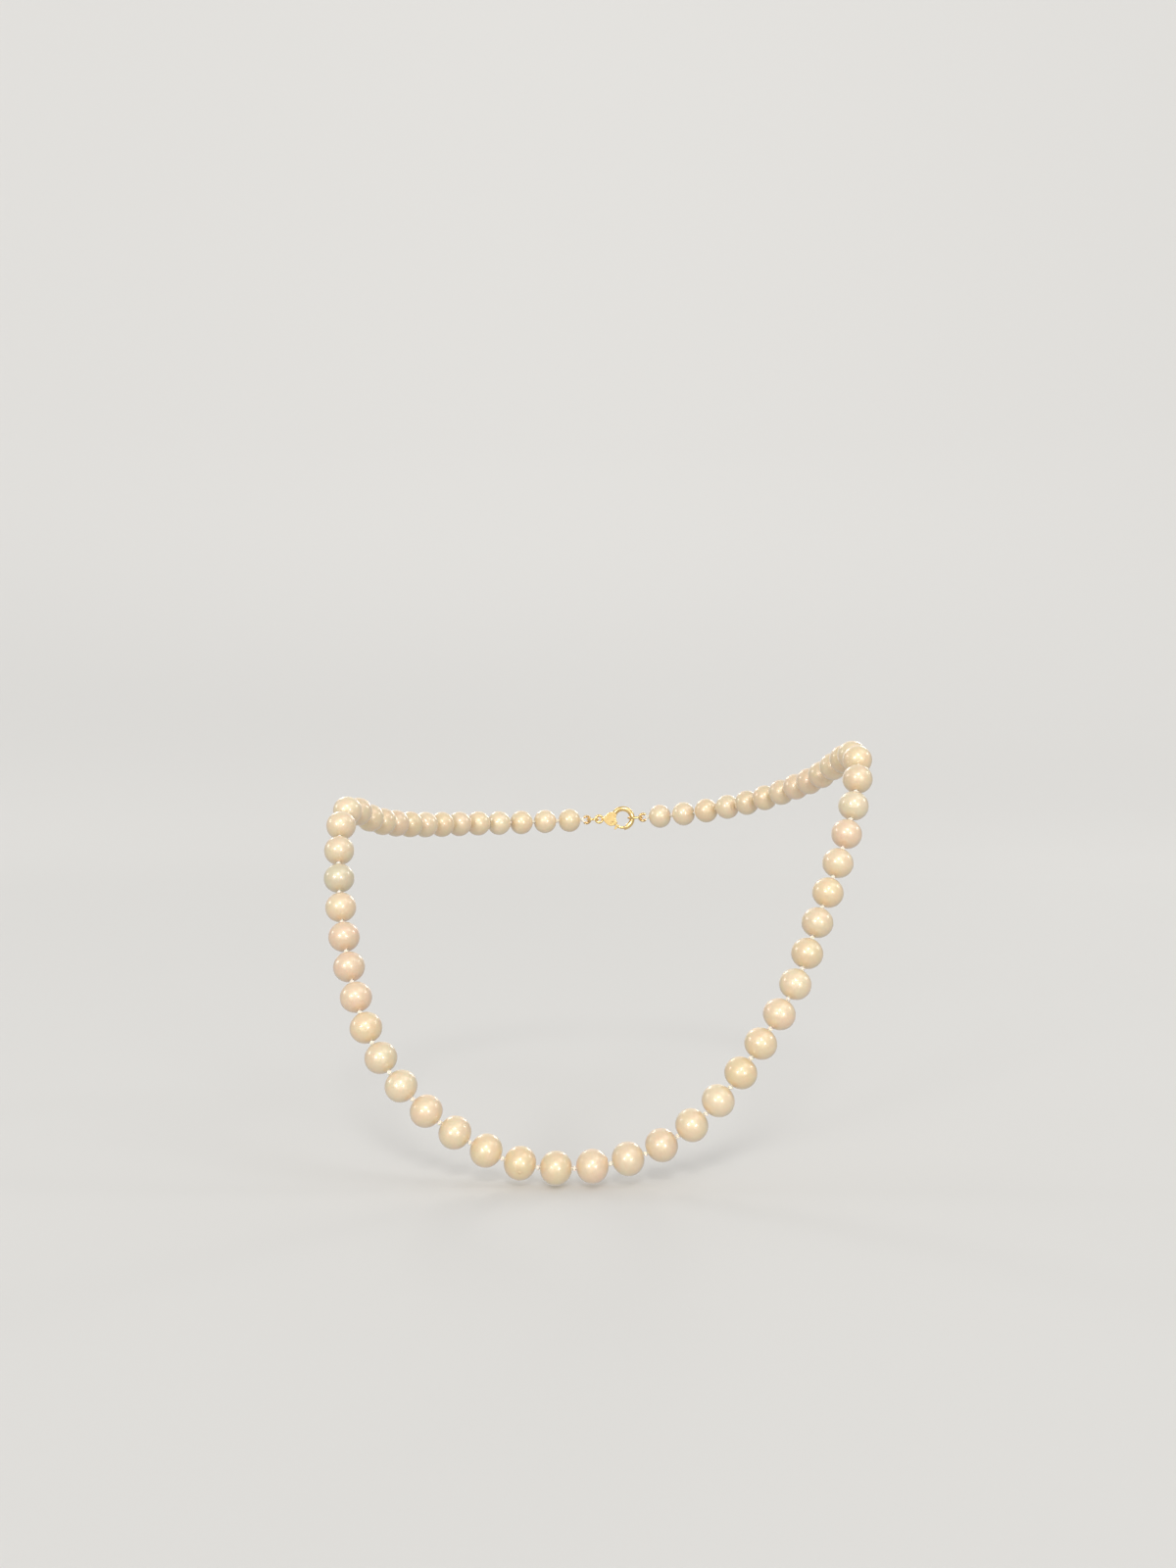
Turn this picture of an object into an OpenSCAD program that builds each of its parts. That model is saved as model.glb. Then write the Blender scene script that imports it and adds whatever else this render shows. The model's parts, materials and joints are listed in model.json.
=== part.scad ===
// Single strand of pearls, knotted on silk, with a lobster-claw clasp.
// It lies as it is worn: the front drape hangs on the chest, the back arc passes behind the neck.
// X points to the right as seen from the front, Y to the back, Z up.
// The origin is midway between the two places where the strand rests on the shoulders.
// Pearls are counted from the centre pearl, 0: negative to the left, positive to the right.
// Knot j is the knot on the left of pearl j, so pearl j sits between knots j and j + 1.

/* [Pearls] */
// Diameter of the centre pearl, measured across the thread
centre_pearl_d = 7.1; // [6.6:0.1:7.4]
// How much smaller each next pearl is, going away from the centre
graduation = 0.025; // [0:0.005:0.04]
// Length of a pearl along the thread, as a share of its diameter
pearl_length_share = 0.94; // [0.92:0.01:0.96]
// Diameter of the hole drilled through each pearl
bore_d = 0.8; // [0.75:0.05:0.9]
// Number of pearls behind each shoulder
back_pearls = 12; // [10:1:14]

/* [Silk] */
// Diameter of the silk thread
thread_d = 0.66; // [0.6:0.02:0.7]
// Diameter of a knot
knot_d = 1.1; // [1:0.05:1.2]
// Space between neighbouring pearls, which the knot fills
knot_space = 0.88; // [0.86:0.02:1]
// Space left between a knot and the thread that turns about it
turn_space = 0.03; // [0.02:0.01:0.05]

/* [End loops] */
// Radius of the silk and wire loop at each end of the strand, to the middle of its tube
loop_r = 0.95; // [0.9:0.05:1]
// Diameter of the coiled wire that covers the loop
gimp_d = 0.8; // [0.7:0.05:0.8]
// Diameter of the silk inside the coiled wire
loop_silk_d = 0.4; // [0.3:0.05:0.4]

/* [Clasp] */
// Length of the claw, from its eye to the nose of its hook
claw_length = 11.1; // [10.9:0.1:12]
// Wire diameter of the two rings
ring_wire_d = 0.6; // [0.5:0.05:0.6]
// Radius of the small ring that holds the claw, to the middle of its wire
jump_ring_r = 1.5; // [1.4:0.1:1.6]
// Radius of the ring that the claw hooks into, to the middle of its wire
catch_ring_r = 1.9; // [1.8:0.1:2]
// Radius of the claw's hook, to the middle of its bar
hook_r = 2.6; // [2.5:0.1:2.7]
// Thickness of the hook's bar
hook_d = 1.4; // [1.2:0.1:1.4]
// Thickness of the claw body where it holds the lever
claw_thick = 2.7; // [2.6:0.1:3]
// Thickness of the lever
lever_thick = 0.84; // [0.8:0.02:0.9]
// Diameter of the lever's pin
pin_d = 0.6; // [0.5:0.05:0.6]

/* [Hidden] */
$fn = 48;
FRONT = 15;                       // front pearls on each side of the centre pearl
SHOULDER = 2;                     // pearls on each shoulder
SIDE = FRONT + SHOULDER + back_pearls;
RUNNING_FIT = 0.03;               // radial, for a lever that turns on a pin
PRESS_FIT = 0.01;                 // radial, for a pin held by its hole
NEAR = 0.05;                      // space between two pieces of metal that hang in each other
GIMP_WALL_SPACE = 0.02;           // radial, between the loop's silk and its coiled wire

// The strand's route, all the way round, starting on the left shoulder.
ROUTE = [
    // left shoulder and down to the bottom of the drape
    [-59, -0.5, -5.5], [-59, -10.5, -15], [-57.5, -18, -27], [-54.5, -25.5, -39.5],
    [-50, -32.5, -51.5], [-42.5, -37, -62.5], [-31, -39, -72], [-17, -40, -78.5],
    // bottom of the drape and up to the right shoulder
    [-2, -40, -79], [12, -39.5, -75], [24, -38, -66], [33, -35.5, -54.5], [41, -31.5, -42.5],
    [46, -26.5, -30.5], [51.5, -21, -17.5], [56, -15, -5], [58.5, -6.5, 6],
    // behind the neck, from right to left
    [57.5, 8, 6], [54, 22, 2], [49, 36, -1], [42, 48, -4], [32.5, 58.5, -6.5], [20, 66, -8.5],
    [6, 69.5, -9.5], [-8.5, 69, -10], [-22, 64.5, -10.5], [-33.5, 55.5, -10.5],
    [-42.5, 43.5, -10.5], [-49.5, 30, -10], [-55, 14.5, -8.5]
];
CENTRE_AT = 7.74;                 // where knot 0 lies on the route, counted in route points
CHORD_LOSS = 0.9;                 // how much shorter a chain of straight links is than its curve

function catmull(a, b, c, d, t) =
    0.5 * (2 * b + (c - a) * t + (2 * a - 5 * b + 4 * c - d) * t * t
    + (3 * b - 3 * c + d - a) * t * t * t);

function route_point(i) = ROUTE[(i + len(ROUTE)) % len(ROUTE)];

function plain_route(s) =
    let (i = floor(s))
    catmull(route_point(i - 1), route_point(i), route_point(i + 1), route_point(i + 2), s - i);

function sum_of(list, i = 0) = i >= len(list) ? 0 : list[i] + sum_of(list, i + 1);

ROUTE_STEP = 0.25;
route_length = sum_of([
    for (s = [0 : ROUTE_STEP : len(ROUTE) - ROUTE_STEP])
        norm(plain_route(s + ROUTE_STEP) - plain_route(s))
]);

function pearl_d(j) = centre_pearl_d - graduation * abs(j);
function pearl_length(j) = pearl_length_share * pearl_d(j);
function pitch(j) = pearl_length(j) + knot_space;

strand_length = sum_of([for (j = [-SIDE : SIDE]) pitch(j)]);

// The clasp's pieces stand in a row along the local x axis, each hanging in the next.
gimp_r = gimp_d / 2;
wire_r = ring_wire_d / 2;
hook_bar_r = hook_d / 2;
eye_r = 0.95;
eye_bar_r = 0.35;
loop_leg = 0.3;
loop_to_ring = gimp_r + wire_r + NEAR;
eye_to_ring = eye_bar_r + wire_r + NEAR;
eye_span = 2 * jump_ring_r - loop_to_ring - eye_to_ring;
hook_to_ring = wire_r + NEAR;
catch_span = 2 * catch_ring_r - hook_d - hook_to_ring - loop_to_ring;
clasp_row = eye_span - eye_bar_r + claw_length + catch_span;

left_loop_x = -clasp_row / 2 - loop_r;
jump_ring_x = -clasp_row / 2 - loop_to_ring + jump_ring_r;
eye_x = -clasp_row / 2 + eye_span + eye_r;
hook_x = eye_x - eye_r - eye_bar_r + claw_length - hook_r - hook_bar_r;
catch_ring_x = hook_x + hook_r - hook_bar_r - hook_to_ring + catch_ring_r;
right_loop_x = clasp_row / 2 + loop_r;
clasp_span = clasp_row + 4 * loop_r + 2 * loop_leg;

// The route is drawn for the standard sizes, and grows or shrinks to fit the strand.
route_fit = (strand_length + clasp_span + CHORD_LOSS) / route_length;

function route_at(s) = route_fit * plain_route(s);

// The place on the route at a straight distance from a point, found by halving.
function seek(from, near, far, reach, halvings) =
    let (middle = (near + far) / 2)
    halvings == 0 ? middle
    : norm(route_at(middle) - from) < reach
        ? seek(from, middle, far, reach, halvings - 1)
        : seek(from, near, middle, reach, halvings - 1);

// The places of the knots past place s, one pearl after another, in one direction.
function places(s, j, direction) =
    abs(j) > SIDE ? []
    : let (next = seek(route_at(s), s, s + direction, pitch(j), 24))
        concat([next], places(next, j + direction, direction));

left_places = places(CENTRE_AT, -1, -1);
right_places = places(CENTRE_AT, 0, 1);
KNOTS = concat(
    [for (i = [SIDE - 1 : -1 : 0]) route_at(left_places[i])],
    [route_at(CENTRE_AT)],
    [for (s = right_places) route_at(s)]
);

function knot(j) = KNOTS[j + SIDE];

function two_digits(n) = str(n < 10 ? "0" : "", n);
function pearl_name(j) =
    j == 0 ? "pearl_centre" : str(j < 0 ? "pearl_left_" : "pearl_right_", two_digits(abs(j)));
function silk_name(level) = str("silk_", two_digits(level));

// Stands its children's z axis on the line from one point to another.
module along(from, to) {
    v = to - from;
    translate(from)
        rotate([0, acos(v.z / norm(v)), atan2(v.y, v.x)])
            children();
}

// A pearl is turned from a round outline set a little off its axis, so it is wider than long.
module pearl(j) {
    half_length = pearl_length(j) / 2;
    middle = (knot(j) + knot(j + 1)) / 2;
    color("linen")
        along(middle, knot(j + 1))
            rotate_extrude()
                intersection() {
                    translate([pearl_d(j) / 2 - half_length, 0])
                        circle(r = half_length);
                    translate([bore_d / 2, -half_length])
                        square([pearl_d(j), 2 * half_length]);
                }
}

module knot_ball(j) {
    next = j > SIDE ? 2 * knot(j) - knot(j - 1) : knot(j + 1);
    along(knot(j), next)
        sphere(d = knot_d);
}

// The thread through pearl j. An end that turns about a knot of another piece stops clear of it.
module thread(j, clear_left = false, clear_right = false) {
    gap = knot_d / 2 + turn_space;
    start = clear_left ? gap : 0;
    end = norm(knot(j + 1) - knot(j)) - (clear_right ? gap : 0);
    along(knot(j), knot(j + 1))
        translate([0, 0, start])
            cylinder(d = thread_d, h = end - start);
}

// One level of the front drape: the next thread and knot on the left and on the right.
// It turns about the line through the two knots above it. The last level closes the drape.
module silk_level(level) {
    left = level - FRONT - 1;
    right = FRONT + 1 - level;
    color("ivory") {
        thread(left, clear_left = true);
        knot_ball(left + 1);
        thread(right, clear_right = true);
        knot_ball(right);
        if (level == FRONT) thread(0);
    }
}

module pearls_shoulder() {
    for (i = [FRONT + 1 : FRONT + SHOULDER]) {
        pearl(-i);
        pearl(i);
    }
}

module silk_shoulder() {
    color("ivory") {
        for (i = [FRONT + 1 : FRONT + SHOULDER]) {
            thread(-i);
            thread(i);
        }
        for (i = [FRONT + 1 : FRONT + SHOULDER + 1]) {
            knot_ball(1 - i);
            knot_ball(i);
        }
    }
}

// Places its children at the clasp: x runs from the left end knot to the right one, z is up.
module at_clasp() {
    row = knot(SIDE + 1) - knot(-SIDE);
    translate((knot(-SIDE) + knot(SIDE + 1)) / 2)
        rotate([0, -asin(row.z / norm(row)), atan2(row.y, row.x)])
            children();
}

// Turns a flat drawing so that its x and y run along the clasp and up.
module upright() {
    rotate([90, 0, 0])
        children();
}

module ring(r, bar_r) {
    rotate_extrude()
        translate([r, 0])
            circle(r = bar_r);
}

// Part of a ring, from one angle to another.
module bow(r, bar_r, from_angle, to_angle) {
    rotate([0, 0, from_angle])
        rotate_extrude(angle = to_angle - from_angle)
            translate([r, 0])
                circle(r = bar_r);
}

// The silk loop at one end of the strand, and its leg to the last knot.
module end_loop(side, x) {
    half_gap = norm(knot(SIDE + 1) - knot(-SIDE)) / 2;
    leg = half_gap - abs(x) - loop_r;
    at_clasp() {
        translate([x, 0, 0])
            upright()
                ring(loop_r, loop_silk_d / 2);
        translate([side * (abs(x) + loop_r), 0, 0])
            rotate([0, 90 * side, 0])
                cylinder(d = thread_d, h = leg);
    }
}

module silk_back_left() {
    color("ivory") {
        for (j = [-SIDE : -FRONT - SHOULDER - 1]) {
            thread(j, clear_right = j == -FRONT - SHOULDER - 1);
            knot_ball(j);
        }
        end_loop(-1, left_loop_x);
    }
}

module silk_back_right() {
    color("ivory") {
        for (j = [FRONT + SHOULDER + 1 : SIDE]) {
            thread(j, clear_left = j == FRONT + SHOULDER + 1);
            knot_ball(j + 1);
        }
        end_loop(1, right_loop_x);
    }
}

module pearls_back(side) {
    for (i = [FRONT + SHOULDER + 1 : SIDE]) pearl(side * i);
}

// Coiled wire over the silk loop, open towards the last knot.
module gimp(side, x) {
    open_half = 40;
    middle = side < 0 ? 180 : 0;
    color("goldenrod")
        at_clasp()
            translate([x, 0, 0])
                upright()
                    difference() {
                        bow(loop_r, gimp_r, middle + open_half, middle + 360 - open_half);
                        bow(loop_r, loop_silk_d / 2 + GIMP_WALL_SPACE, 0, 360);
                    }
}

module jump_ring() {
    color("gold")
        at_clasp()
            translate([jump_ring_x, 0, 0])
                ring(jump_ring_r, wire_r);
}

module catch_ring() {
    color("gold")
        at_clasp()
            translate([catch_ring_x, 0, 0])
                ring(catch_ring_r, wire_r);
}

// Two circles and the straight sides that touch both.
module taper(a, a_r, b, b_r) {
    v = b - a;
    lean = acos((a_r - b_r) / norm(v));
    heading = atan2(v.y, v.x);
    up = [cos(heading + lean), sin(heading + lean)];
    down = [cos(heading - lean), sin(heading - lean)];
    translate(a) circle(r = a_r);
    translate(b) circle(r = b_r);
    polygon([a + a_r * up, b + b_r * up, b + b_r * down, a + a_r * down]);
}

// Places in the claw, in the plane of its hook.
HOOK = [hook_x, 0];
PIVOT = HOOK + [-2.85, -1.15];
SHANK = HOOK + [-3.05, -0.1];
lever_end_r = 3.66;               // from the pivot to the lever's tip
LEVER_TIP_SPACE = 0.06;
spring_wire_d = 0.2;
spring_r = 0.48;
slot_w = 1.8;

module claw_slot() {
    linear_extrude(slot_w, center = true)
        taper(PIVOT, 1.2, HOOK, hook_r - hook_bar_r);
}

module claw_hook() {
    difference() {
        translate(HOOK)
            bow(hook_r, hook_bar_r, -100, 150);
        // the lever's tip swings past the end of the hook
        intersection() {
            translate(PIVOT)
                cylinder(r = lever_end_r + LEVER_TIP_SPACE, h = claw_thick, center = true);
            translate([hook_x - hook_r, -2 * hook_r, -claw_thick])
                cube([2 * hook_r, 2 * hook_r - 1.2, 2 * claw_thick]);
        }
    }
}

module claw_body() {
    shoulder_x = SHANK.x - 1.4;
    color("gold")
        at_clasp()
            upright()
                difference() {
                    union() {
                        claw_hook();
                        difference() {
                            linear_extrude(claw_thick, center = true)
                                taper(SHANK, 1.9, [shoulder_x, 0], 0.9);
                            translate(HOOK)
                                cylinder(r = hook_r - hook_bar_r, h = 2 * claw_thick, center = true);
                            claw_slot();
                        }
                        translate([eye_x + eye_r, 0, 0])
                            rotate([0, 90, 0])
                                cylinder(r = 0.55, h = shoulder_x - eye_x - eye_r);
                        translate([eye_x, 0, 0])
                            ring(eye_r, eye_bar_r);
                    }
                    translate(PIVOT)
                        cylinder(r = pin_d / 2 + PRESS_FIT, h = 2 * claw_thick, center = true);
                }
}

module claw_lever() {
    lever_bar_r = 0.45 * lever_thick;
    nub_angle = 232;
    out = [cos(nub_angle), sin(nub_angle)];
    color("gold")
        at_clasp()
            upright()
                difference() {
                    union() {
                        intersection() {
                            translate(HOOK)
                                bow(hook_r, lever_bar_r, 203, 300);
                            translate(PIVOT)
                                cylinder(r = lever_end_r, h = claw_thick, center = true);
                        }
                        translate(PIVOT)
                            cylinder(r = 0.62, h = lever_thick, center = true);
                        linear_extrude(1.6 * lever_bar_r, center = true)
                            taper(HOOK + hook_r * out, 0.42, HOOK + (hook_r + 0.9) * out, 0.3);
                    }
                    translate(PIVOT)
                        cylinder(r = pin_d / 2 + RUNNING_FIT, h = claw_thick, center = true);
                }
}

module lever_pin() {
    color("gold")
        at_clasp()
            upright()
                translate(PIVOT)
                    cylinder(d = pin_d, h = claw_thick, center = true);
}

// Two turns of spring wire round the pin, beside the lever, with an arm each way.
module lever_spring() {
    first_turn = lever_thick / 2 + spring_wire_d / 2 + NEAR;
    next_turn = 0.8 * spring_wire_d;
    color("silver")
        at_clasp()
            upright()
                translate(PIVOT) {
                    for (turn = [0, 1])
                        translate([0, 0, first_turn + turn * next_turn])
                            ring(spring_r, spring_wire_d / 2);
                    translate([0, spring_r, first_turn])
                        rotate([0, 90, 0])
                            cylinder(d = spring_wire_d, h = 1.1);
                    translate([0, spring_r, first_turn + next_turn])
                        rotate([0, -90, 0])
                            cylinder(d = spring_wire_d, h = 0.7);
                }
}

for (j = [-FRONT : FRONT])
    pearl(j);
for (level = [1 : FRONT])
    silk_level(level);
pearls_shoulder();
silk_shoulder();
pearls_back(-1);  // pearls_back_left
pearls_back(1);  // pearls_back_right
silk_back_left();
silk_back_right();
gimp(-1, left_loop_x);  // gimp_left
gimp(1, right_loop_x);  // gimp_right
jump_ring();
catch_ring();
claw_body();
claw_lever();
lever_pin();
lever_spring();
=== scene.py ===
"""Looks of a knotted strand of pearls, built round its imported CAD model. Lengths are in metres.

Pearls are counted from the centre pearl, 0: negative to the left, positive to the right.
Knot j is the knot on the left of pearl j, so pearl j sits between knots j and j + 1.
"""

import json
import math
import random

import bmesh
import bpy
import numpy as np
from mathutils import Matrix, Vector, noise


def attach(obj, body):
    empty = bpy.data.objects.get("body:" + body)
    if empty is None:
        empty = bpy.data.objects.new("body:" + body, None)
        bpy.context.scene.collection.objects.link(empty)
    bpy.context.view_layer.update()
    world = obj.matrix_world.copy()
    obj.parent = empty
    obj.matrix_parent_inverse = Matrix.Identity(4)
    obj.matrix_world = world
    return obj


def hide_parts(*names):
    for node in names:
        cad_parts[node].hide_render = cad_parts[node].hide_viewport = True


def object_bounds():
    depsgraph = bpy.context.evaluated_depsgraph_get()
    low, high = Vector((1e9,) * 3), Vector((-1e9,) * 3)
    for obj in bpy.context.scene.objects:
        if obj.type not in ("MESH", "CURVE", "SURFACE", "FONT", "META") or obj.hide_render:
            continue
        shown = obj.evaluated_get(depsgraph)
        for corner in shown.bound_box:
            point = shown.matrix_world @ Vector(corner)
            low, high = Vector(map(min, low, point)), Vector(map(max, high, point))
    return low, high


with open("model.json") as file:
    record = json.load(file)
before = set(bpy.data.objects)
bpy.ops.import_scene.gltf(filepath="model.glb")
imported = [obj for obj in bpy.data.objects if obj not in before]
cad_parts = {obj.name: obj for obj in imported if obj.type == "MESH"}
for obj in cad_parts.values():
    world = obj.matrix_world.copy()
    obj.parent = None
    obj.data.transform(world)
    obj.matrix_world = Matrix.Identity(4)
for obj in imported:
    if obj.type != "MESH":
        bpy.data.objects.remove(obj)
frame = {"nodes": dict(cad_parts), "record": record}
cad_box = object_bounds()

MM = 0.001
UP = np.array((0.0, 0.0, 1.0))
BODY_OF = {
    node: body
    for body, nodes in frame["record"]["behaviour"]["bodies"].items()
    for node in nodes
}
scene = bpy.context.scene


def link(name, data):
    made = bpy.data.objects.new(name, data)
    scene.collection.objects.link(made)
    return made


# ---------------------------------------------------------------- camera

SENSOR = 36  # mm, along the image's long side
LENS = 36.58  # mm
VIEW_DISTANCE = 0.3252  # from the front of the strand
VIEW_ASIDE = -0.003


def make_camera():
    data = bpy.data.cameras.new("camera")
    data.sensor_width = SENSOR
    data.lens = LENS
    data.clip_start = 0.01
    camera = link("camera", data)
    camera.location = (VIEW_ASIDE, cad_box[0].y - VIEW_DISTANCE, 0)
    camera.rotation_euler = (math.radians(90), 0, 0)
    scene.camera = camera


make_camera()


# ---------------------------------------------------------------- reading the strand off the CAD nodes

WELD = 1e-7  # corners nearer to each other than this are one


def solids(node_name):
    """The faces of each separate solid of a CAD node, as rows of corner points."""
    mesh = bmesh.new()
    mesh.from_mesh(frame["nodes"][node_name].data)
    bmesh.ops.remove_doubles(mesh, verts=mesh.verts, dist=WELD)
    found, seen = [], set()
    for first in mesh.verts:
        if first in seen:
            continue
        seen.add(first)
        island = [first]
        for vert in island:
            for edge in vert.link_edges:
                other = edge.other_vert(vert)
                if other not in seen:
                    seen.add(other)
                    island.append(other)
        faces = {face for vert in island for face in vert.link_faces}
        found.append(sorted([[v.co[:] for v in face.verts[:3]] for face in faces]))
    mesh.free()
    return [np.array(corners) for corners in found]


class Pearl:
    """Where a pearl lies. The faces of its drilled hole look inwards, and give its middle and its axis."""

    def __init__(self, node_name, corners):
        points = corners.reshape(-1, 3)
        middle = (points.min(0) + points.max(0)) / 2
        across = np.cross(corners[:, 1] - corners[:, 0], corners[:, 2] - corners[:, 0])
        centres = corners.mean(1)
        hole = np.einsum("ij,ij->i", across, centres - middle) < 0
        areas = np.linalg.norm(across[hole], axis=1)
        directions = across[hole] / areas[:, None]
        scatter = np.einsum("i,ij,ik->jk", areas, directions, directions)
        self.node = node_name
        self.centre = (centres[hole] * areas[:, None]).sum(0) / areas.sum()
        self.axis = np.linalg.eigh(scatter)[1][:, 0]
        along = (points - self.centre) @ self.axis
        out = np.linalg.norm(points - self.centre - np.outer(along, self.axis), axis=1)
        self.radius = out.max()
        self.hole_radius = out.min()
        self.half_length = (along.max() - along.min()) / 2


def single_pearl(node_name):
    return Pearl(node_name, solids(node_name)[0])


def chain(start, pool, count):
    """The next pearls along the strand, each the nearest one left in the pool."""
    row, pool = [start], list(pool)
    for _ in range(count):
        nearest = min(pool, key=lambda p: np.linalg.norm(p.centre - row[-1].centre))
        pool.remove(nearest)
        row.append(nearest)
    return row[1:]


def read_strand():
    """All pearls, from the left end of the strand to its right end, with their axes pointing that way."""
    front = sum(name.startswith("pearl_left_") for name in frame["nodes"])
    left = [single_pearl(f"pearl_left_{i:02d}") for i in range(front, 0, -1)]
    right = [single_pearl(f"pearl_right_{i:02d}") for i in range(1, front + 1)]
    shoulder = [Pearl("pearls_shoulder", s) for s in solids("pearls_shoulder")]
    back_left = [Pearl("pearls_back_left", s) for s in solids("pearls_back_left")]
    back_right = [Pearl("pearls_back_right", s) for s in solids("pearls_back_right")]
    count = len(shoulder) // 2 + len(back_left)
    row = chain(left[0], shoulder + back_left, count)[::-1]
    row += left + [single_pearl("pearl_centre")] + right
    row += chain(right[-1], shoulder + back_right, count)
    for i, p in enumerate(row):
        ahead = row[min(i + 1, len(row) - 1)].centre - row[max(i - 1, 0)].centre
        if p.axis @ ahead < 0:
            p.axis = -p.axis
        p.number = i - len(row) // 2
    return row


def read_knots(row):
    """The place of each knot: where the thread of one pearl meets the thread of the next."""
    knots = []
    for one, other in zip(row, row[1:]):
        start = one.centre + one.axis * one.half_length
        gap = other.centre - other.axis * other.half_length - start
        reach = gap @ gap / (2 * one.axis @ gap)
        knots.append(start + one.axis * reach)
    first, last = row[0], row[-1]
    knots.insert(0, 2 * first.centre - knots[0])
    knots.append(2 * last.centre - knots[-1])
    return knots


strand = read_strand()
SIDE = len(strand) // 2
knots = read_knots(strand)


def pearl(j):
    return strand[j + SIDE]


def knot(j):
    return knots[j + SIDE]


# ---------------------------------------------------------------- materials

# Body colours of the pearls
CREAM = Vector((0.80, 0.65, 0.435))
ROSE = Vector((0.82, 0.63, 0.445))
IVORY = Vector((0.80, 0.685, 0.48))
HONEY = Vector((0.81, 0.645, 0.40))
SILVER = Vector((0.68, 0.605, 0.425))


def new_material(name):
    """A material, its node tree, and the tree's Principled node."""
    made = bpy.data.materials.new(name)
    made.use_nodes = True
    return made, made.node_tree, made.node_tree.nodes["Principled BSDF"]


def node(tree, kind, settings=(), **inputs):
    """A shader node. Each setting is a name and its value, and each input a number or a socket."""
    made = tree.nodes.new(kind)
    for setting, value in dict(settings).items():
        setattr(made, setting, value)
    for key, value in inputs.items():
        socket = made.inputs[key.replace("_", " ")]
        if isinstance(value, bpy.types.NodeSocket):
            tree.links.new(value, socket)
        else:
            socket.default_value = value
    return made


def attribute(tree, name, output):
    return node(tree, "ShaderNodeAttribute", {"attribute_name": name}).outputs[output]


def fine_noise(tree, vector, scale, detail=3.0, rough=0.55, distortion=0.0):
    """Noise from 0 to 1."""
    made = node(tree, "ShaderNodeTexNoise", Vector=vector, Scale=scale, Detail=detail,
                Roughness=rough, Distortion=distortion)
    return made.outputs["Fac"]


def spread(tree, value, low, high, to_low, to_high):
    """Maps the range low to high smoothly onto another range."""
    made = node(tree, "ShaderNodeMapRange", {"interpolation_type": "SMOOTHSTEP"}, Value=value)
    for name, number in (("From Min", low), ("From Max", high), ("To Min", to_low), ("To Max", to_high)):
        made.inputs[name].default_value = number
    return made.outputs["Result"]


def mixed(tree, share, one, other, blend="MIX"):
    """One colour mixed with another by a share from 0 to 1."""
    made = tree.nodes.new("ShaderNodeMix")
    made.data_type = "RGBA"
    made.blend_type = blend
    for i, value in ((0, share), (6, one), (7, other)):
        if isinstance(value, bpy.types.NodeSocket):
            tree.links.new(value, made.inputs[i])
        else:
            made.inputs[i].default_value = value
    return made.outputs[2]


def bumped(tree, height, distance):
    return node(tree, "ShaderNodeBump", Height=height, Distance=distance, Strength=1.0).outputs["Normal"]


def scaled(tree, vector, scale):
    made = node(tree, "ShaderNodeVectorMath", {"operation": "MULTIPLY"})
    tree.links.new(vector, made.inputs[0])
    made.inputs[1].default_value = scale
    return made.outputs[0]


def nacre():
    """Pearl: a cream body with faint clouds and growth bands, under a clear, softly shining surface."""
    made, tree, shader = new_material("nacre")
    local = attribute(tree, "local", "Vector")
    # Each pearl's body colour, darkened with painted shade in its pits
    tint = attribute(tree, "tint", "Color")
    clouds = spread(tree, fine_noise(tree, local, 1.1, 2.0), 0.35, 0.65, 0.0, 1.0)
    layers = fine_noise(tree, scaled(tree, local, (0.6, 0.6, 5.0)), 1.6, 4.0)
    bands = spread(tree, layers, 0.4, 0.62, 0.0, 1.0)
    freckles = spread(tree, fine_noise(tree, local, 13.0, 2.0), 0.60, 0.78, 0.0, 0.3)
    colour = mixed(tree, clouds, (1.02, 0.97, 0.985, 1), (0.985, 1.0, 0.985, 1))
    colour = mixed(tree, 1.0, tint, colour, "MULTIPLY")
    colour = mixed(tree, spread(tree, bands, 0.0, 1.0, 0.0, 0.05), colour, (0.90, 0.82, 0.66, 1))
    colour = mixed(tree, freckles, colour, (0.66, 0.52, 0.35, 1))
    tree.links.new(colour, shader.inputs["Base Color"])
    tree.links.new(spread(tree, bands, 0.0, 1.0, 0.40, 0.44), shader.inputs["Roughness"])
    peel = fine_noise(tree, local, 3.5, 4.0, 0.45)
    tree.links.new(bumped(tree, peel, 0.09 * MM), shader.inputs["Normal"])
    shader.inputs["Metallic"].default_value = 0.2
    shader.inputs["IOR"].default_value = 1.62
    shader.inputs["Subsurface Weight"].default_value = 0.18
    shader.inputs["Subsurface Radius"].default_value = (1.0, 0.62, 0.42)
    shader.inputs["Subsurface Scale"].default_value = 1.1 * MM
    shader.inputs["Coat Weight"].default_value = 1.0
    shader.inputs["Coat Roughness"].default_value = 0.13
    shader.inputs["Coat IOR"].default_value = 1.5
    shader.inputs["Sheen Weight"].default_value = 0.3
    shader.inputs["Sheen Roughness"].default_value = 0.3
    shader.inputs["Sheen Tint"].default_value = (1.0, 0.88, 0.80, 1)
    return made


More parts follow.
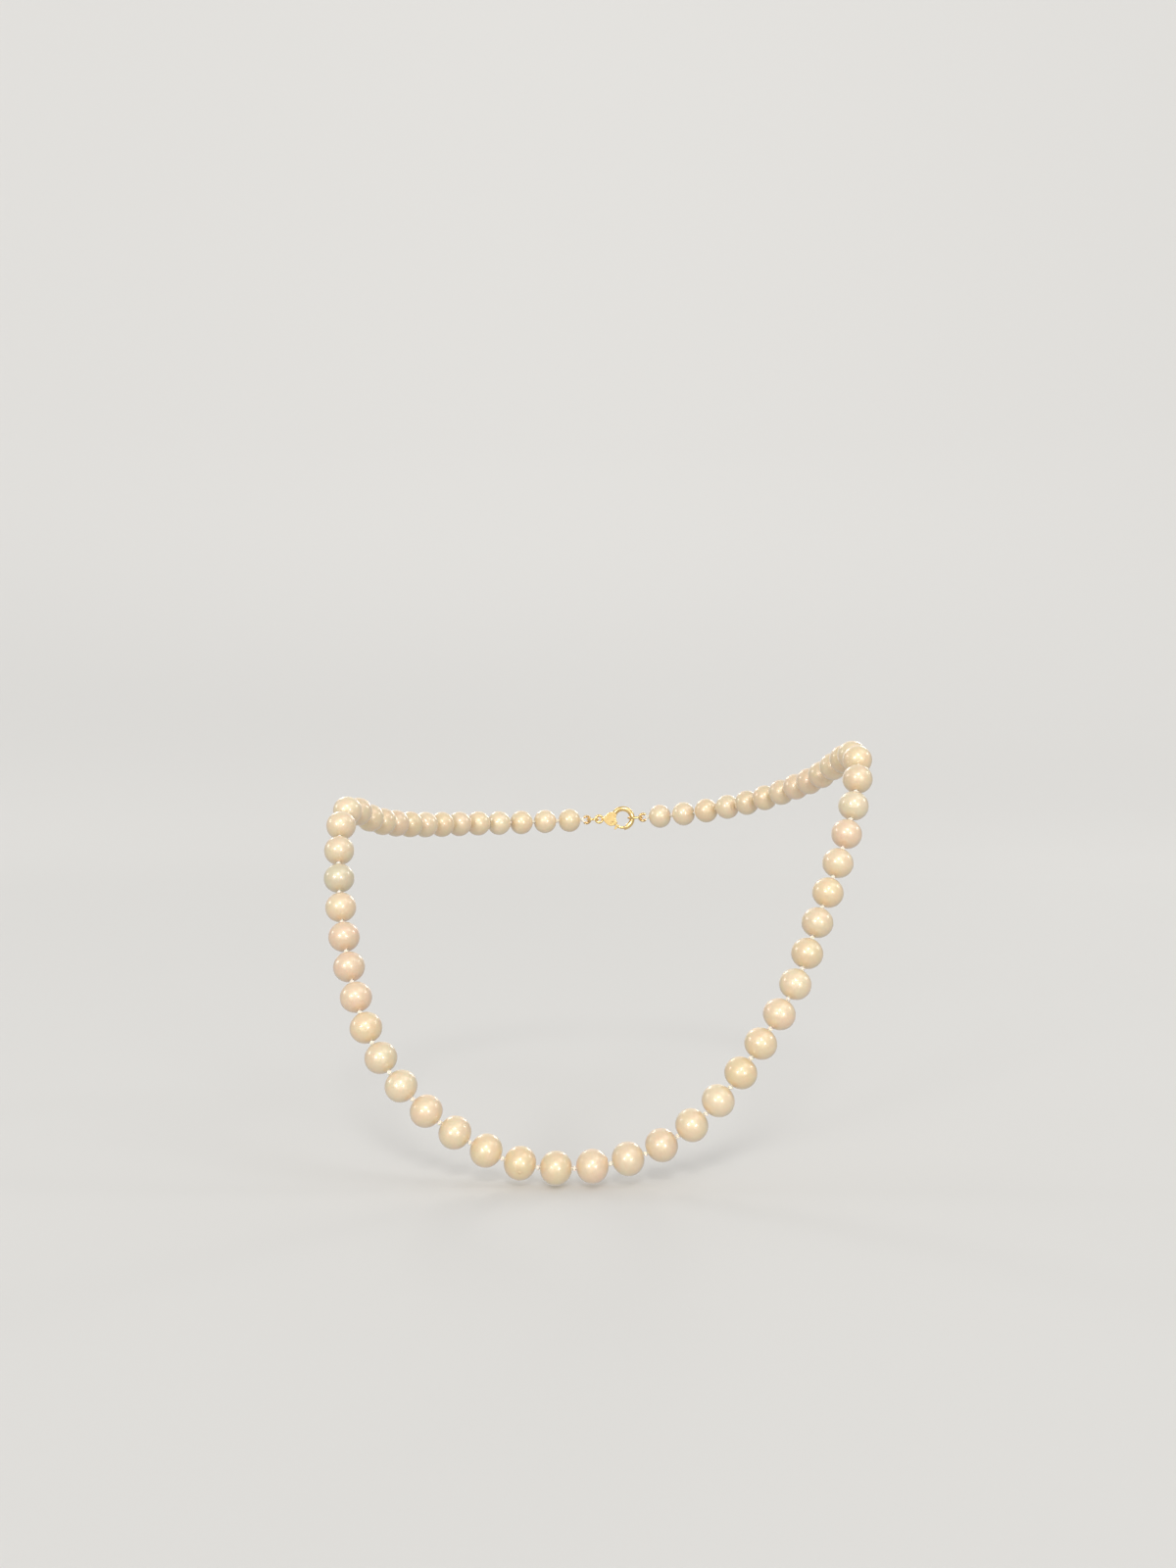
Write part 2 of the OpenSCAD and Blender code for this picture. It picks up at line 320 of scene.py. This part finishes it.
def silk():
    """Twisted silk: fine fibres along the thread, matt, with a soft sheen."""
    made, tree, shader = new_material("silk")
    fibre = attribute(tree, "fibre", "Vector")
    hairs = fine_noise(tree, scaled(tree, fibre, (7.0, 7.0, 0.5)), 1.0, 3.0)
    soil = spread(tree, fine_noise(tree, fibre, 0.5, 2.0), 0.4, 0.75, 0.0, 0.35)
    lit = spread(tree, hairs, 0.3, 0.7, 0.0, 1.0)
    colour = mixed(tree, lit, (0.93, 0.87, 0.76, 1), (0.98, 0.94, 0.86, 1))
    colour = mixed(tree, soil, colour, (0.88, 0.79, 0.64, 1))
    tree.links.new(colour, shader.inputs["Base Color"])
    tree.links.new(spread(tree, hairs, 0.3, 0.7, 0.62, 0.48), shader.inputs["Roughness"])
    tree.links.new(bumped(tree, hairs, 0.02 * MM), shader.inputs["Normal"])
    shader.inputs["Sheen Weight"].default_value = 0.4
    shader.inputs["Sheen Roughness"].default_value = 0.4
    shader.inputs["Sheen Tint"].default_value = (1.0, 0.95, 0.88, 1)
    shader.inputs["Subsurface Weight"].default_value = 0.1
    shader.inputs["Subsurface Scale"].default_value = 0.3 * MM
    return made


def metal(name, bright, dull, smooth, rough):
    """Polished metal with hairline scratches, rubbed places and a trace of tarnish."""
    made, tree, shader = new_material(name)
    place = scaled(tree, node(tree, "ShaderNodeTexCoord").outputs["Object"], (1 / MM,) * 3)
    rubbed = spread(tree, fine_noise(tree, place, 0.9, 3.0), 0.38, 0.66, 0.0, 1.0)
    scratches = fine_noise(tree, scaled(tree, place, (1.0, 6.0, 2.0)), 5.0, 4.0, 0.7, 0.4)
    fine = spread(tree, scratches, 0.45, 0.7, 0.0, 1.0)
    tree.links.new(mixed(tree, rubbed, (*bright, 1), (*dull, 1)), shader.inputs["Base Color"])
    both = node(tree, "ShaderNodeMath", {"operation": "MULTIPLY_ADD"})
    tree.links.new(fine, both.inputs[0])
    both.inputs[1].default_value = (rough - smooth) / 2
    tree.links.new(spread(tree, rubbed, 0.0, 1.0, smooth, (smooth + rough) / 2), both.inputs[2])
    tree.links.new(both.outputs[0], shader.inputs["Roughness"])
    tree.links.new(bumped(tree, scratches, 0.006 * MM), shader.inputs["Normal"])
    shader.inputs["Metallic"].default_value = 1.0
    return made


NACRE = nacre()
SILK = silk()
GOLD = metal("gold", (1.0, 0.76, 0.36), (0.86, 0.60, 0.26), 0.14, 0.30)
GIMP_GOLD = metal("gimp_gold", (1.0, 0.78, 0.42), (0.84, 0.60, 0.28), 0.20, 0.36)
STEEL = metal("spring_steel", (0.66, 0.65, 0.63), (0.48, 0.46, 0.44), 0.22, 0.40)


# ---------------------------------------------------------------- mesh building


class Shape:
    """Points, faces and named values at the points, gathered for one piece."""

    def __init__(self):
        self.points = []
        self.faces = []
        self.values = {}
        self.count = 0

    def add(self, points, faces, **values):
        self.points.append(points)
        self.faces += [[i + self.count for i in face] for face in faces]
        self.count += len(points)
        for name, rows in values.items():
            self.values.setdefault(name, []).append(rows)

    def piece(self, name, material):
        mesh = bpy.data.meshes.new(name)
        mesh.from_pydata(np.concatenate(self.points).tolist(), [], self.faces)
        for key, rows in self.values.items():
            rows = np.concatenate(rows)
            if rows.shape[1] == 4:
                mesh.attributes.new(key, "FLOAT_COLOR", "POINT").data.foreach_set("color", rows.ravel())
            else:
                mesh.attributes.new(key, "FLOAT_VECTOR", "POINT").data.foreach_set("vector", rows.ravel())
        mesh.materials.append(material)
        mesh.shade_smooth()
        return link(name, mesh)


def stand_for(piece, nodes):
    """The piece rides on the body of the CAD nodes that it stands for, which are then not shown."""
    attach(piece, BODY_OF[nodes[0]])
    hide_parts(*nodes)


def grid_faces(rows, columns, closed):
    """Quads between rows of points. Each row is a ring, and closed joins the last row to the first."""
    faces = []
    for i in range(rows if closed else rows - 1):
        for k in range(columns):
            a, b = i * columns, (i + 1) % rows * columns
            after = (k + 1) % columns
            faces.append([a + k, a + after, b + after, b + k])
    if not closed:
        faces.append(list(range(columns - 1, -1, -1)))
        faces.append([(rows - 1) * columns + k for k in range(columns)])
    return faces


def side_vectors(axis, hint):
    """Two unit vectors at right angles to an axis and to each other, the first one nearest to hint."""
    side = hint - axis * (hint @ axis)
    side = side / np.linalg.norm(side)
    return side, np.cross(axis, side)


# ---------------------------------------------------------------- pearls

RINGS, SEGMENTS = 44, 72
FINER = 3  # how many times more of both a pearl with marks has
RIM = 0.07 * MM  # roundness of the edge of a drilled hole
RIM_STEPS = 4
OUT_OF_ROUND = 0.011
GROOVE = 0.0035
FADE = 0.35  # both fade out towards the hole, over this share of the radius
PIT_PAINTED_SHADE = np.array((0.06, 0.14, 0.18))  # painted shade: how much of its red, green and blue a pearl's colour is darkened in a pit, where shade falls

# Pearls whose colour stands out from their neighbours
BODY_COLOURS = {-13: SILVER, -11: ROSE, -10: ROSE, -9: ROSE, -2: HONEY, 5: HONEY, 13: ROSE, 14: IVORY}


def marks_of(j):
    """Blemishes: each is a direction from the middle, a width in radians and a height in metres."""
    if j == -2:
        return [((0.02, -0.93, -0.36), 0.09, 0.20 * MM), ((0.02, -0.93, -0.36), 0.19, -0.16 * MM)]
    if j == 0:
        return [((0.78, -0.25, 0.50), 0.22, 0.26 * MM)]
    return []


def outline(p, rings):
    """A pearl's outline from rim to rim and back through its hole: distance from the axis, place along it."""
    hole, edge = p.hole_radius, p.hole_radius + RIM
    pole = p.half_length
    start = math.asin((edge - p.radius + pole) / pole)
    angles = np.linspace(start, math.pi - start, rings)
    body = [(p.radius - pole + pole * math.sin(a), pole * math.cos(a)) for a in angles]
    rim = []
    for i in range(1, RIM_STEPS + 1):
        a = math.pi / 2 * i / RIM_STEPS
        rim.append((edge - RIM * math.sin(a), body[-1][1] + RIM * (1 - math.cos(a))))
    inside = [(hole, rim[-1][1] * share) for share in (0.6, 0.2, -0.2, -0.6)]
    return np.array(body + rim + inside + [(x, -z) for x, z in rim[::-1]])


def add_pearl(shape, p):
    """Adds a pearl, a little out of round, with the drilled hole that the silk runs through."""
    chance = random.Random(f"pearl {p.number}")
    side, other = side_vectors(p.axis, UP)
    finer = FINER if marks_of(p.number) else 1
    profile = outline(p, finer * RINGS)
    turns = np.linspace(0, 2 * math.pi, finer * SEGMENTS, endpoint=False)
    seed = np.array([chance.uniform(-50, 50) for _ in range(3)])
    lopsided = chance.uniform(0.4, 1.0) * OUT_OF_ROUND
    grooved = chance.choice((0.0, 0.3, 1.0)) * GROOVE
    marks = []
    for place, width, height in marks_of(p.number):
        marks.append((np.array(place) / np.linalg.norm(place), width, height))
    colour = BODY_COLOURS.get(p.number)
    if colour is None:
        colour = CREAM.lerp(chance.choice((ROSE, IVORY, IVORY, HONEY)), chance.uniform(0.0, 0.7))
    colour = np.array(colour) * chance.uniform(0.97, 1.02)
    points, local, tint = [], [], []
    for out, along in profile:
        held = min(1.0, max(0.0, (out - p.hole_radius - RIM) / (FADE * p.radius)))
        for turn in turns:
            flat = side * math.cos(turn) + other * math.sin(turn)
            offset = flat * out + p.axis * along
            way = offset / np.linalg.norm(offset)
            own = np.array((out * math.cos(turn), out * math.sin(turn), along)) / p.radius
            swell = lopsided * noise.noise(Vector(own * 0.9 + seed))
            swell += grooved * noise.noise(Vector((seed[0], seed[1], own[2] * 5.0)))
            grown = offset * (1 + held * swell)
            pit_shade = 0.0
            for direction, width, height in marks:
                angle = math.acos(max(-1.0, min(1.0, way @ direction)))
                share = math.exp(-((angle / width) ** 2))
                grown = grown + way * height * share
                # Painted shade: the colour is darkened inside a pit, where shade falls
                pit_shade += share * (height < 0)
            points.append(p.centre + grown)
            local.append(own + seed)
            tint.append((*(colour * (1 - pit_shade * PIT_PAINTED_SHADE)), 1.0))
    shape.add(
        np.array(points),
        grid_faces(len(profile), len(turns), closed=True),
        local=np.array(local),
        tint=np.array(tint),
    )


def make_pearls():
    """One piece for each CAD node of pearls."""
    by_node = {}
    for p in strand:
        by_node.setdefault(p.node, []).append(p)
    for node_name, group in by_node.items():
        shape = Shape()
        for p in group:
            add_pearl(shape, p)
        stand_for(shape.piece(f"nacre_{node_name}", NACRE), [node_name])


# ---------------------------------------------------------------- silk

THREAD_RADIUS = 0.32 * MM
LOOP_THREAD_RADIUS = 0.19 * MM
TWIST_PITCH = 1.5 * MM
PLIES = 3
PLY_DEPTH = 0.16
THREAD_SEGMENTS = 18
THREAD_STEP = 0.15 * MM
INTO_KNOT = 0.36 * MM  # a thread of one body ends this far from the middle of another body's knot

KNOT_RADIUS = 0.60 * MM
KNOT_WRAP = 0.29 * MM  # from the axis to the middle of the wraps
KNOT_SWING = 0.115 * MM  # how far a wrap moves in and out as it passes over and under the others
KNOT_RISE = 0.235 * MM  # how far it moves along the axis
KNOT_STEPS = 96
KNOT_SEGMENTS = 12


def twisted_ring(radius, twist, segments):
    """A cross-section of a cord of several plies, and the same points untwisted, for its fibres."""
    turns = np.linspace(0, 2 * math.pi, segments, endpoint=False)
    out = radius * (1 - PLY_DEPTH * (1 - np.abs(np.cos(PLIES * (turns - twist) / 2))))
    ring = np.stack([out * np.cos(turns), out * np.sin(turns)], axis=1)
    fibre = np.stack([np.cos(turns - twist), np.sin(turns - twist)], axis=1)
    return ring, fibre


def add_cord(shape, path, hints, radius, segments, closed=False, pitch=TWIST_PITCH):
    """A twisted cord along a path. Hints point to the cord's side, one for each point of the path."""
    path = np.array(path)
    steps = np.roll(path, -1, axis=0) - path
    if not closed:
        steps[-1] = steps[-2]
    lengths = np.linalg.norm(steps, axis=1)
    run = np.concatenate([[0], np.cumsum(lengths)[:-1]])
    if closed:
        pitch = lengths.sum() * PLIES / max(1, round(PLIES * lengths.sum() / pitch))
    tangents = steps + np.roll(steps, 1, axis=0) if closed else steps
    points, fibres = [], []
    for at, tangent, hint, far in zip(path, tangents, hints, run):
        side, other = side_vectors(tangent / np.linalg.norm(tangent), np.array(hint))
        ring, fibre = twisted_ring(radius, 2 * math.pi * far / pitch, segments)
        points += [at + side * a + other * b for a, b in ring]
        fibres += [(a, b, far / radius) for a, b in fibre]
    shape.add(np.array(points), grid_faces(len(path), segments, closed), fibre=np.array(fibres))


def add_thread(shape, j, clear_left=False, clear_right=False):
    """The silk through pearl j, from knot to knot."""
    axis = pearl(j).axis
    start = knot(j) + axis * (INTO_KNOT if clear_left else 0)
    end = knot(j + 1) - axis * (INTO_KNOT if clear_right else 0)
    count = max(3, round(float(np.linalg.norm(end - start)) / THREAD_STEP))
    path = [start + (end - start) * i / count for i in range(count + 1)]
    side = side_vectors(axis, UP)[0]
    add_cord(shape, path, [side] * len(path), THREAD_RADIUS, THREAD_SEGMENTS)


def add_knot(shape, j):
    """A pulled-tight knot: wraps that pass over and under each other round the thread."""
    chance = random.Random(f"knot {j}")
    before = pearl(max(j - 1, -SIDE)).axis
    after = pearl(min(j, SIDE)).axis
    axis = (before + after) / np.linalg.norm(before + after)
    side, other = side_vectors(axis, UP)
    size = chance.uniform(0.96, 1.02)
    start = chance.uniform(0, 2 * math.pi)
    path, hints = [], []
    for i in range(KNOT_STEPS):
        u = 2 * math.pi * i / KNOT_STEPS
        out = side * math.cos(2 * u + start) + other * math.sin(2 * u + start)
        away = KNOT_WRAP + KNOT_SWING * math.cos(3 * u)
        path.append(knot(j) + size * (out * away + axis * KNOT_RISE * math.sin(3 * u)))
        hints.append(out)
    strand_radius = size * (KNOT_RADIUS - KNOT_WRAP - KNOT_SWING)
    add_cord(shape, path, hints, strand_radius, KNOT_SEGMENTS, closed=True, pitch=0.6 * TWIST_PITCH)


def clasp_frame():
    """Middle of the clasp, and its x, y and z directions: along it, back, and up."""
    left, right = knot(-SIDE), knot(SIDE + 1)
    x = (right - left) / np.linalg.norm(right - left)
    heading = math.atan2(x[1], x[0])
    y = np.array((-math.sin(heading), math.cos(heading), 0))
    return (left + right) / 2, x, y, np.cross(x, y)


CLASP, CLASP_X, CLASP_Y, CLASP_Z = clasp_frame()


def in_clasp(x, y=0.0, z=0.0):
    """A point of the shared frame, from one in the clasp's own frame."""
    return CLASP + CLASP_X * x + CLASP_Y * y + CLASP_Z * z


def clasp_box(name):
    """Lowest and highest corner of a CAD node in the clasp's own frame."""
    points = np.array([v.co for v in frame["nodes"][name].data.vertices]) - CLASP
    own = points @ np.array([CLASP_X, CLASP_Y, CLASP_Z]).T
    return own.min(0), own.max(0)


GIMP_RADIUS = 0.4 * MM  # of the coiled wire's outside, from the middle of the silk inside it
LOOP_STEPS = 64
TAIL_STEPS = 8


def loop_of(side):
    """Middle and radius of the silk loop at one end, read off the coiled wire that covers it."""
    low, high = clasp_box("gimp_left" if side < 0 else "gimp_right")
    radius = (high[2] - low[2]) / 2 - GIMP_RADIUS
    inner_edge = high[0] if side < 0 else low[0]
    return inner_edge + side * (radius + GIMP_RADIUS), radius


def add_end_loop(shape, side):
    """The silk loop at one end of the strand, and the doubled silk from it to the last knot."""
    middle, radius = loop_of(side)
    path, hints = [], []
    for i in range(LOOP_STEPS):
        angle = 2 * math.pi * i / LOOP_STEPS
        out = CLASP_X * math.cos(angle) + CLASP_Z * math.sin(angle)
        path.append(in_clasp(middle) + out * radius)
        hints.append(out)
    add_cord(shape, path, hints, LOOP_THREAD_RADIUS, KNOT_SEGMENTS, closed=True)
    start = in_clasp(middle + side * radius)
    end = knot(-SIDE if side < 0 else SIDE + 1)
    path = [start + (end - start) * i / TAIL_STEPS for i in range(TAIL_STEPS + 1)]
    add_cord(shape, path, [CLASP_Z] * len(path), THREAD_RADIUS, THREAD_SEGMENTS)


def make_silk():
    """One piece for each CAD node of silk, with the same threads and knots."""
    levels = [name for name in frame["nodes"] if name.startswith("silk_") and name[5:].isdigit()]
    front = len(levels)
    for level in range(1, front + 1):
        shape = Shape()
        left, right = level - front - 1, front + 1 - level
        add_thread(shape, left, clear_left=True)
        add_knot(shape, left + 1)
        add_thread(shape, right, clear_right=True)
        add_knot(shape, right)
        if level == front:
            add_thread(shape, 0)
        stand_for(shape.piece(f"thread_{level:02d}", SILK), [f"silk_{level:02d}"])
    ends = front + sum(p.node == "pearls_shoulder" for p in strand) // 2
    shape = Shape()
    for i in range(front + 1, ends + 1):
        add_thread(shape, -i)
        add_thread(shape, i)
    for i in range(front + 1, ends + 2):
        add_knot(shape, 1 - i)
        add_knot(shape, i)
    stand_for(shape.piece("thread_shoulder", SILK), ["silk_shoulder"])
    shape = Shape()
    for j in range(-SIDE, -ends):
        add_thread(shape, j, clear_right=j == -ends - 1)
        add_knot(shape, j)
    add_end_loop(shape, -1)
    stand_for(shape.piece("thread_back_left", SILK), ["silk_back_left"])
    shape = Shape()
    for j in range(ends + 1, SIDE + 1):
        add_thread(shape, j, clear_left=j == ends + 1)
        add_knot(shape, j + 1)
    add_end_loop(shape, 1)
    stand_for(shape.piece("thread_back_right", SILK), ["silk_back_right"])


# ---------------------------------------------------------------- metal


def add_wire(shape, path, hints, radius, segments, closed=False):
    """A round wire along a path. Radius is one number, or one for each point of the path."""
    path = np.array(path)
    radii = np.broadcast_to(radius, (len(path),))
    steps = np.roll(path, -1, axis=0) - np.roll(path, 1, axis=0)
    if not closed:
        steps[0], steps[-1] = path[1] - path[0], path[-1] - path[-2]
    turns = np.linspace(0, 2 * math.pi, segments, endpoint=False)
    points = []
    for at, step, hint, r in zip(path, steps, hints, radii):
        side, other = side_vectors(step / np.linalg.norm(step), np.array(hint))
        points += [at + r * (side * math.cos(t) + other * math.sin(t)) for t in turns]
    shape.add(np.array(points), grid_faces(len(path), segments, closed))


GIMP_WIRE = 0.075 * MM  # radius of the wire that the gimp is wound from
GIMP_PITCH = 0.165 * MM
GIMP_STEPS, GIMP_SEGMENTS = 14, 7  # points along each turn, and round the wire
GIMP_OPEN_HALF = math.radians(42)  # half the angle left open towards the last knot


def make_gimp(side, name):
    """Fine wire wound in a close coil over the silk loop."""
    middle, radius = loop_of(side)
    towards = math.pi if side < 0 else 0.0
    start, end = towards + GIMP_OPEN_HALF, towards + 2 * math.pi - GIMP_OPEN_HALF
    turns = (end - start) * radius / GIMP_PITCH
    count = round(turns * GIMP_STEPS)
    path, hints = [], []
    for i in range(count + 1):
        angle = start + (end - start) * i / count
        wound = 2 * math.pi * turns * i / count
        out = CLASP_X * math.cos(angle) + CLASP_Z * math.sin(angle)
        ray = out * math.cos(wound) + CLASP_Y * math.sin(wound)
        path.append(in_clasp(middle) + out * radius + ray * (GIMP_RADIUS - GIMP_WIRE))
        hints.append(ray)
    shape = Shape()
    add_wire(shape, path, hints, GIMP_WIRE, GIMP_SEGMENTS)
    stand_for(shape.piece(f"coil_{name}", GIMP_GOLD), [name])


RING_STEPS, RING_SEGMENTS = 120, 24
SEAM = 0.02 * MM  # half the gap at a ring's cut
SOLDER = 0.1  # how much thicker a ring is at its solder
SOLDER_WIDTH = 7  # degrees
CUT_WIRE = 0.985  # thickness of a cut ring's wire against the CAD


def make_ring(name, soldered):
    """A wire ring: the small one is cut and pressed shut, the large one is soldered."""
    low, high = clasp_box(name)
    wire = (high[2] - low[2]) / 2
    middle = (low + high) / 2
    radius = (high[0] - low[0]) / 2 - wire
    gap = 0.0 if soldered else SEAM / radius
    path, hints, radii = [], [], []
    count = RING_STEPS if soldered else RING_STEPS + 1
    for i in range(count):
        angle = gap + (2 * math.pi - 2 * gap) * i / RING_STEPS - math.pi / 2
        out = CLASP_X * math.cos(angle) + CLASP_Y * math.sin(angle)
        path.append(in_clasp(*middle) + out * radius)
        hints.append(out)
        from_seam = min(i, RING_STEPS - i) / RING_STEPS * 360
        thicker = 1 + SOLDER * math.exp(-((from_seam / SOLDER_WIDTH) ** 2))
        radii.append(wire * (thicker if soldered else CUT_WIRE))
    shape = Shape()
    add_wire(shape, path, hints, radii, RING_SEGMENTS, closed=soldered)
    stand_for(shape.piece(f"wire_{name}", GOLD), [name])


def make_cast(name, voxel, smoothing, material):
    """A cast and tumbled piece: the CAD solid with its edges rounded off."""
    mesh = frame["nodes"][name].data.copy()
    mesh.materials.clear()
    mesh.materials.append(material)
    made = link(f"cast_{name}", mesh)
    remesh = made.modifiers.new("remesh", "REMESH")
    remesh.mode = "VOXEL"
    remesh.voxel_size = voxel
    soften = made.modifiers.new("soften", "SMOOTH")
    soften.factor = 0.5
    soften.iterations = smoothing
    finished = bpy.data.meshes.new_from_object(made.evaluated_get(bpy.context.evaluated_depsgraph_get()))
    made.modifiers.clear()
    made.data = finished
    finished.shade_smooth()
    stand_for(made, [name])


def make_metal():
    make_gimp(-1, "gimp_left")
    make_gimp(1, "gimp_right")
    make_ring("jump_ring", soldered=False)
    make_ring("catch_ring", soldered=True)
    make_cast("claw_body", 0.06 * MM, 6, GOLD)
    make_cast("claw_lever", 0.045 * MM, 4, GOLD)
    for name, material in (("lever_pin", GOLD), ("lever_spring", STEEL)):
        shown = frame["nodes"][name]
        shown.data.materials.clear()
        shown.data.materials.append(material)
        shown.data.shade_smooth()


# ---------------------------------------------------------------- floor and light

FLOOR_GAP = 0.4 * MM
STAGE_RADIUS = 1.1
COVE_RADIUS = 0.5
WALL_HEIGHT = 2.5
FLOOR_COLOUR = (0.69, 0.685, 0.675, 1)
# Painted light: the wall is painted lighter than the floor, to make up for the shade it gets as it turns away
# from the light
WALL_PAINTED_LIGHT_COLOUR = (0.76, 0.755, 0.745, 1)


def make_stage():
    """A pale floor that curves up into a wall all round."""
    centre = (cad_box[0] + cad_box[1]) / 2
    level = cad_box[0].z - FLOOR_GAP
    made, tree, shader = new_material("stage")
    position = node(tree, "ShaderNodeNewGeometry").outputs["Position"]
    place = node(tree, "ShaderNodeSeparateXYZ", Vector=position)
    # Painted light: the colour grows lighter up the cove and wall, where less light falls
    wall_painted_light = spread(tree, place.outputs["Z"], level, level + COVE_RADIUS, 0.0, 1.0)
    tree.links.new(mixed(tree, wall_painted_light, FLOOR_COLOUR, WALL_PAINTED_LIGHT_COLOUR), shader.inputs["Base Color"])
    shader.inputs["Roughness"].default_value = 0.75
    bend = [math.radians(a) for a in range(0, 91, 9)]
    profile = [(0.02, 0.0), (0.3, 0.0), (0.7, 0.0)]
    profile += [(STAGE_RADIUS + COVE_RADIUS * math.sin(a), COVE_RADIUS * (1 - math.cos(a))) for a in bend]
    profile.append((STAGE_RADIUS + COVE_RADIUS, WALL_HEIGHT))
    turns = np.linspace(0, 2 * math.pi, 96, endpoint=False)
    points = [
        (centre.x + r * math.cos(t), centre.y + r * math.sin(t), level + z) for r, z in profile for t in turns
    ]
    shape = Shape()
    faces = grid_faces(len(profile), len(turns), closed=False)[:-1]  # open at the top
    shape.add(np.array(points), faces)
    stage = shape.piece("stage", made)
    stage.visible_diffuse = False
    stage.visible_glossy = False
    stage.visible_shadow = False


LAMP_DISTANCE = 4.0  # beyond the wall, which lets light in


def make_lamp(name, azimuth, elevation, width, radiance, colour=(1, 1, 1)):
    """A square soft light that faces the strand. Its width is the angle it takes up, in degrees."""
    centre = (cad_box[0] + cad_box[1]) / 2
    a, e = math.radians(azimuth), math.radians(elevation)
    way = Vector((math.sin(a) * math.cos(e), -math.cos(a) * math.cos(e), math.sin(e)))
    data = bpy.data.lights.new(name, "AREA")
    data.size = 2 * LAMP_DISTANCE * math.tan(math.radians(width) / 2)
    data.energy = radiance * math.pi * data.size**2
    data.color = colour
    lamp = link(name, data)
    lamp.location = centre + way * LAMP_DISTANCE
    lamp.rotation_euler = (-way).to_track_quat("-Z", "Y").to_euler()


# Brightness of the studio's surroundings, from straight down, at 0, to straight up, at 1
SKY = ((0.001, 0.56), (0.40, 0.50), (0.52, 0.38), (0.75, 0.43), (0.999, 0.56))


def make_light():
    world = bpy.data.worlds.new("studio")
    scene.world = world
    world.use_nodes = True
    tree = world.node_tree
    toward = node(tree, "ShaderNodeTexCoord").outputs["Generated"]
    direction = node(tree, "ShaderNodeSeparateXYZ", Vector=toward)
    height = spread(tree, direction.outputs["Z"], -1.0, 1.0, 0.0, 1.0)
    sky = node(tree, "ShaderNodeValToRGB", Fac=height)
    ramp = sky.color_ramp
    ramp.interpolation = "EASE"
    for place, grey in SKY:
        stop = ramp.elements.new(place)
        stop.color = (grey, 0.985 * grey, 0.96 * grey, 1)
    ramp.elements.remove(ramp.elements[-1])  # these two came with the ramp
    ramp.elements.remove(ramp.elements[0])
    tree.links.new(sky.outputs["Color"], tree.nodes["Background"].inputs["Color"])
    make_lamp("front", -4, 18, 62, 0.55, (1.0, 0.99, 0.95))
    make_lamp("spot_left", -27, 13, 10, 22, (1.0, 0.99, 0.96))
    make_lamp("spot_middle", 1, 36, 11, 18, (1.0, 0.99, 0.96))
    make_lamp("spot_right", 24, 8, 9, 22, (1.0, 0.99, 0.98))
    make_lamp("key", 60, 55, 24, 1.6)
    make_lamp("behind", 184, 24, 58, 0.5, (1.0, 0.99, 0.95))
    make_lamp("behind_left", 157, 22, 12, 5, (1.0, 0.99, 0.94))
    make_lamp("behind_right", 205, 32, 12, 5, (1.0, 0.99, 0.96))
    make_lamp("side_left", 262, 22, 11, 7)
    make_lamp("side_right", 98, 30, 11, 7)
    scene.view_settings.view_transform = "Standard"


make_pearls()
make_silk()
make_metal()
make_stage()
make_light()
